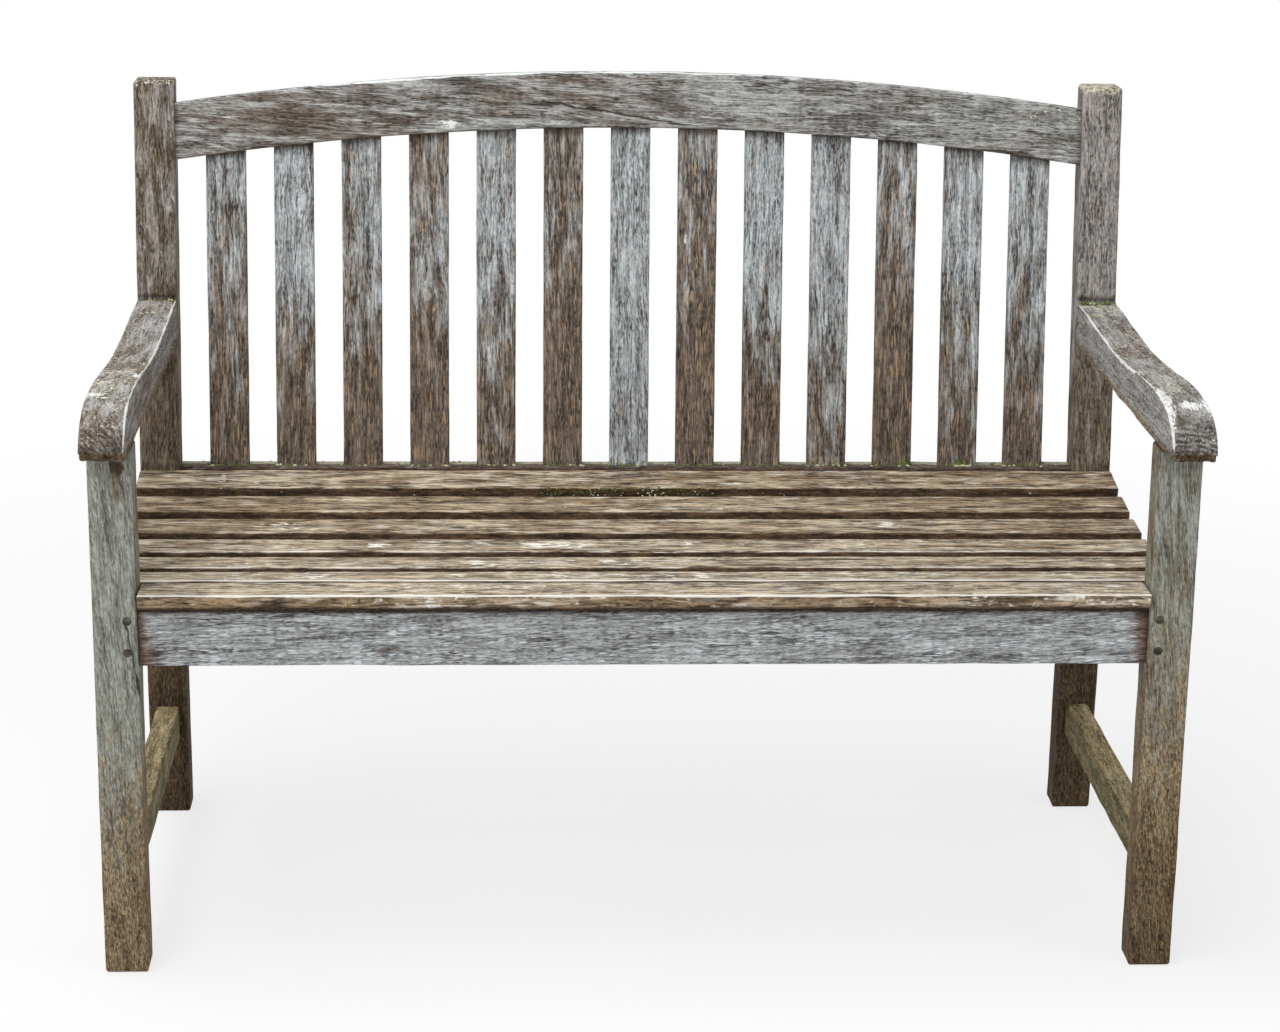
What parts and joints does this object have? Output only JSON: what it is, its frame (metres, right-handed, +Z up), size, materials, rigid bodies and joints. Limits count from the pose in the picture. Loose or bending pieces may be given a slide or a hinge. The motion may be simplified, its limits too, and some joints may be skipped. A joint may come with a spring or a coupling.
{
  "type": "garden bench",
  "caption": "Slatted wooden garden bench with arms, a dished seat and a raked slatted back under an arched top rail.",
  "frame": {"origin": "on the floor, under the middle of the bench's outline", "axes": "+X along the bench to the right as seen from the front, +Y to the back, +Z up; the front faces -Y"},
  "size_m": [1.2008, 0.6344, 0.9352],
  "materials": {
    "leg_wood": "weathered, open grained",
    "post_wood": "weathered, browner low down",
    "stretcher_wood": "weathered, earthy",
    "arm_wood": "weathered, with lichen",
    "rail_wood": "silvered",
    "top_rail_wood": "weathered, open grained",
    "back_slat_wood": "weathered",
    "seat_slat_wood": "worn, with some lichen",
    "peg_wood": "dark end grain",
    "screw_metal": "dull"
  },
  "bodies": {
    "root": {"armrest_left": "arm_wood", "armrest_pegs": "peg_wood", "armrest_right": "arm_wood", "back_slat_01": "back_slat_wood", "back_slat_02": "back_slat_wood", "back_slat_03": "back_slat_wood", "back_slat_04": "back_slat_wood", "back_slat_05": "back_slat_wood", "back_slat_06": "back_slat_wood", "back_slat_07": "back_slat_wood", "back_slat_08": "back_slat_wood", "back_slat_09": "back_slat_wood", "back_slat_10": "back_slat_wood", "back_slat_11": "back_slat_wood", "back_slat_12": "back_slat_wood", "back_slat_13": "back_slat_wood", "centre_seat_bearer": "rail_wood", "front_leg_left": "leg_wood", "front_leg_right": "leg_wood", "front_rail_pegs": "peg_wood", "front_seat_rail": "rail_wood", "rear_post_left": "post_wood", "rear_post_right": "post_wood", "rear_rail_pegs": "peg_wood", "rear_seat_rail": "rail_wood", "seat_slat_1": "seat_slat_wood", "seat_slat_2": "seat_slat_wood", "seat_slat_3": "seat_slat_wood", "seat_slat_4": "seat_slat_wood", "seat_slat_5": "seat_slat_wood", "seat_slat_6": "seat_slat_wood", "seat_slat_7": "seat_slat_wood", "side_rail_pegs": "peg_wood", "side_seat_rail_left": "rail_wood", "side_seat_rail_right": "rail_wood", "slat_screws": "screw_metal", "stretcher_left": "stretcher_wood", "stretcher_pegs": "peg_wood", "stretcher_right": "stretcher_wood", "top_rail": "top_rail_wood", "top_rail_pegs": "peg_wood"}
  },
  "joints": []
}
